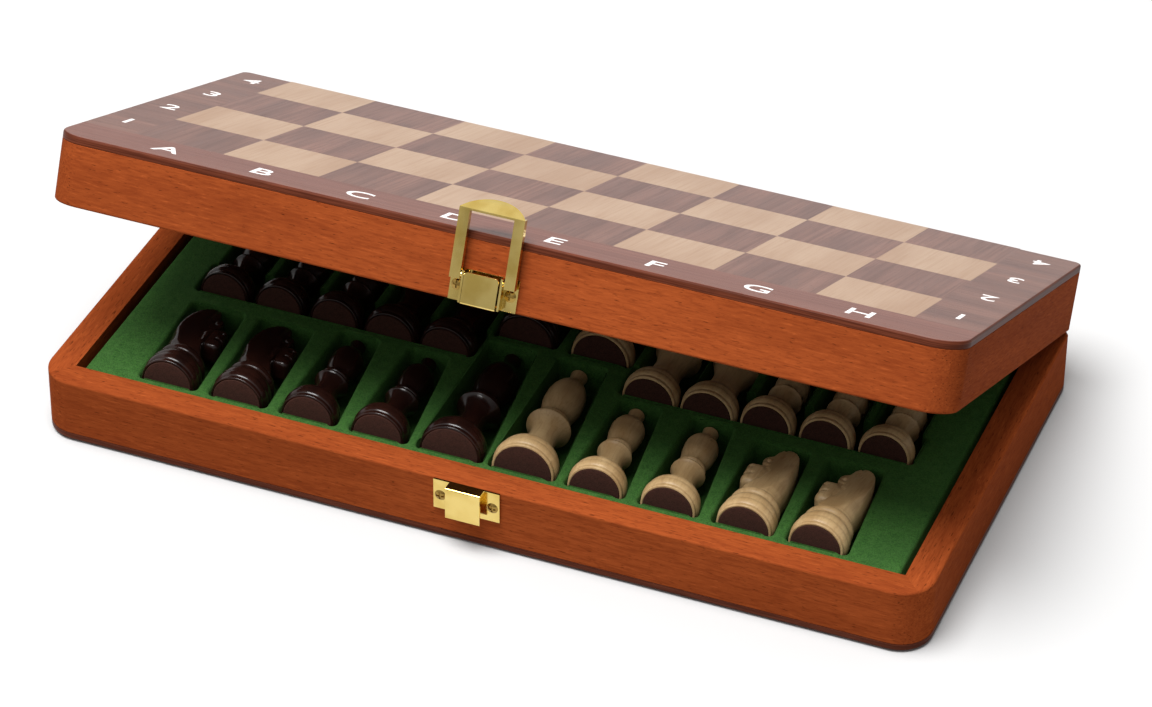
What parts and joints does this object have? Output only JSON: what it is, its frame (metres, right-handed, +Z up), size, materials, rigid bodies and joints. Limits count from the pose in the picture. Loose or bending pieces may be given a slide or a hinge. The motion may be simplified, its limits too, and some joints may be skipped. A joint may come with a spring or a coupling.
{
  "type": "folding chess set",
  "caption": "Folding wooden chess cassette with an inlaid board outside, brass bail clasp, butt hinges, and a green flocked tray of lying chessmen.",
  "frame": {"origin": "centre of the base's underside, which is half of the playing board and the face the case rests on", "axes": "+X along the 300 mm length, +Y from the clasp at the front to the hinges at the back, +Z up"},
  "size_m": [0.3, 0.1633, 0.1124],
  "materials": {
    "case_wood": "satin lacquer over red-brown stain",
    "border_veneer": "satin lacquered dark veneer",
    "dark_veneer": "satin lacquered dark veneer",
    "light_veneer": "satin lacquered light veneer",
    "flock": "short green flock",
    "brass": "polished",
    "dark_men": "glossy dark stain",
    "light_men": "satin lacquered pale wood",
    "felt": "dark brown felt"
  },
  "bodies": {
    "base": {"base_back_rail": "case_wood", "base_dark_squares": "dark_veneer", "base_front_rail": "case_wood", "base_hinge_screws": "brass", "base_left_rail": "case_wood", "base_light_squares": "light_veneer", "base_panel": "border_veneer", "base_right_rail": "case_wood", "catch_plate": "brass", "catch_screws": "brass", "left_base_leaf": "brass", "left_hinge_pin": "brass", "right_base_leaf": "brass", "right_hinge_pin": "brass", "tray": "flock"},
    "lid": {"clasp_plate": "brass", "clasp_screws": "brass", "left_lid_leaf": "brass", "lid_back_rail": "case_wood", "lid_dark_squares": "dark_veneer", "lid_front_rail": "case_wood", "lid_hinge_screws": "brass", "lid_left_rail": "case_wood", "lid_light_squares": "light_veneer", "lid_panel": "border_veneer", "lid_right_rail": "case_wood", "right_lid_leaf": "brass"},
    "bail": {"clasp_bail": "brass"},
    "dark_bishop_inner": {"dark_bishop_inner": "dark_men"},
    "dark_bishop_outer": {"dark_bishop_outer": "dark_men"},
    "dark_king": {"dark_king": "dark_men"},
    "dark_knight_inner": {"dark_knight_inner": "dark_men"},
    "dark_knight_outer": {"dark_knight_outer": "dark_men"},
    "dark_pawn_1": {"dark_pawn_1": "dark_men"},
    "dark_pawn_2": {"dark_pawn_2": "dark_men"},
    "dark_pawn_3": {"dark_pawn_3": "dark_men"},
    "dark_pawn_4": {"dark_pawn_4": "dark_men"},
    "dark_pawn_5": {"dark_pawn_5": "dark_men"},
    "dark_pawn_6": {"dark_pawn_6": "dark_men"},
    "dark_pawn_7": {"dark_pawn_7": "dark_men"},
    "dark_pawn_8": {"dark_pawn_8": "dark_men"},
    "dark_queen": {"dark_queen": "dark_men"},
    "dark_rook_inner": {"dark_rook_inner": "dark_men"},
    "dark_rook_outer": {"dark_rook_outer": "dark_men"},
    "light_bishop_inner": {"light_bishop_inner": "light_men"},
    "light_bishop_outer": {"light_bishop_outer": "light_men"},
    "light_king": {"light_king": "light_men"},
    "light_knight_inner": {"light_knight_inner": "light_men"},
    "light_knight_outer": {"light_knight_outer": "light_men"},
    "light_pawn_1": {"light_pawn_1": "light_men"},
    "light_pawn_2": {"light_pawn_2": "light_men"},
    "light_pawn_3": {"light_pawn_3": "light_men"},
    "light_pawn_4": {"light_pawn_4": "light_men"},
    "light_pawn_5": {"light_pawn_5": "light_men"},
    "light_pawn_6": {"light_pawn_6": "light_men"},
    "light_pawn_7": {"light_pawn_7": "light_men"},
    "light_pawn_8": {"light_pawn_8": "light_men"},
    "light_queen": {"light_queen": "light_men"},
    "light_rook_inner": {"light_rook_inner": "light_men"},
    "light_rook_outer": {"light_rook_outer": "light_men"}
  },
  "joints": [
    {"name": "lid_hinge", "type": "hinge", "parent": "base", "child": "lid", "pos_m": [0, 0.07515, 0.0227], "axis": [-1, 0, 0], "range_deg": [-23.5, 156.5]},
    {"name": "bail_pivot", "type": "hinge", "parent": "lid", "child": "bail", "pos_m": [0, -0.06135, 0.09209], "axis": [1, 0, 0], "range_deg": [0, 180]},
    {"name": "dark_bishop_inner_lift", "type": "slide", "parent": "base", "child": "dark_bishop_inner", "axis": [0, 0, 1], "range_m": [0, 0.025]},
    {"name": "dark_bishop_outer_lift", "type": "slide", "parent": "base", "child": "dark_bishop_outer", "axis": [0, 0, 1], "range_m": [0, 0.025]},
    {"name": "dark_king_lift", "type": "slide", "parent": "base", "child": "dark_king", "axis": [0, 0, 1], "range_m": [0, 0.025]},
    {"name": "dark_knight_inner_lift", "type": "slide", "parent": "base", "child": "dark_knight_inner", "axis": [0, 0, 1], "range_m": [0, 0.025]},
    {"name": "dark_knight_outer_lift", "type": "slide", "parent": "base", "child": "dark_knight_outer", "axis": [0, 0, 1], "range_m": [0, 0.025]},
    {"name": "dark_pawn_1_lift", "type": "slide", "parent": "base", "child": "dark_pawn_1", "axis": [0, 0, 1], "range_m": [0, 0.025]},
    {"name": "dark_pawn_2_lift", "type": "slide", "parent": "base", "child": "dark_pawn_2", "axis": [0, 0, 1], "range_m": [0, 0.025]},
    {"name": "dark_pawn_3_lift", "type": "slide", "parent": "base", "child": "dark_pawn_3", "axis": [0, 0, 1], "range_m": [0, 0.025]},
    {"name": "dark_pawn_4_lift", "type": "slide", "parent": "base", "child": "dark_pawn_4", "axis": [0, 0, 1], "range_m": [0, 0.025]},
    {"name": "dark_pawn_5_lift", "type": "slide", "parent": "base", "child": "dark_pawn_5", "axis": [0, 0, 1], "range_m": [0, 0.025]},
    {"name": "dark_pawn_6_lift", "type": "slide", "parent": "base", "child": "dark_pawn_6", "axis": [0, 0, 1], "range_m": [0, 0.025]},
    {"name": "dark_pawn_7_lift", "type": "slide", "parent": "base", "child": "dark_pawn_7", "axis": [0, 0, 1], "range_m": [0, 0.025]},
    {"name": "dark_pawn_8_lift", "type": "slide", "parent": "base", "child": "dark_pawn_8", "axis": [0, 0, 1], "range_m": [0, 0.025]},
    {"name": "dark_queen_lift", "type": "slide", "parent": "base", "child": "dark_queen", "axis": [0, 0, 1], "range_m": [0, 0.025]},
    {"name": "dark_rook_inner_lift", "type": "slide", "parent": "base", "child": "dark_rook_inner", "axis": [0, 0, 1], "range_m": [0, 0.025]},
    {"name": "dark_rook_outer_lift", "type": "slide", "parent": "base", "child": "dark_rook_outer", "axis": [0, 0, 1], "range_m": [0, 0.025]},
    {"name": "light_bishop_inner_lift", "type": "slide", "parent": "base", "child": "light_bishop_inner", "axis": [0, 0, 1], "range_m": [0, 0.025]},
    {"name": "light_bishop_outer_lift", "type": "slide", "parent": "base", "child": "light_bishop_outer", "axis": [0, 0, 1], "range_m": [0, 0.025]},
    {"name": "light_king_lift", "type": "slide", "parent": "base", "child": "light_king", "axis": [0, 0, 1], "range_m": [0, 0.025]},
    {"name": "light_knight_inner_lift", "type": "slide", "parent": "base", "child": "light_knight_inner", "axis": [0, 0, 1], "range_m": [0, 0.025]},
    {"name": "light_knight_outer_lift", "type": "slide", "parent": "base", "child": "light_knight_outer", "axis": [0, 0, 1], "range_m": [0, 0.025]},
    {"name": "light_pawn_1_lift", "type": "slide", "parent": "base", "child": "light_pawn_1", "axis": [0, 0, 1], "range_m": [0, 0.025]},
    {"name": "light_pawn_2_lift", "type": "slide", "parent": "base", "child": "light_pawn_2", "axis": [0, 0, 1], "range_m": [0, 0.025]},
    {"name": "light_pawn_3_lift", "type": "slide", "parent": "base", "child": "light_pawn_3", "axis": [0, 0, 1], "range_m": [0, 0.025]},
    {"name": "light_pawn_4_lift", "type": "slide", "parent": "base", "child": "light_pawn_4", "axis": [0, 0, 1], "range_m": [0, 0.025]},
    {"name": "light_pawn_5_lift", "type": "slide", "parent": "base", "child": "light_pawn_5", "axis": [0, 0, 1], "range_m": [0, 0.025]},
    {"name": "light_pawn_6_lift", "type": "slide", "parent": "base", "child": "light_pawn_6", "axis": [0, 0, 1], "range_m": [0, 0.025]},
    {"name": "light_pawn_7_lift", "type": "slide", "parent": "base", "child": "light_pawn_7", "axis": [0, 0, 1], "range_m": [0, 0.025]},
    {"name": "light_pawn_8_lift", "type": "slide", "parent": "base", "child": "light_pawn_8", "axis": [0, 0, 1], "range_m": [0, 0.025]},
    {"name": "light_queen_lift", "type": "slide", "parent": "base", "child": "light_queen", "axis": [0, 0, 1], "range_m": [0, 0.025]},
    {"name": "light_rook_inner_lift", "type": "slide", "parent": "base", "child": "light_rook_inner", "axis": [0, 0, 1], "range_m": [0, 0.025]},
    {"name": "light_rook_outer_lift", "type": "slide", "parent": "base", "child": "light_rook_outer", "axis": [0, 0, 1], "range_m": [0, 0.025]}
  ]
}
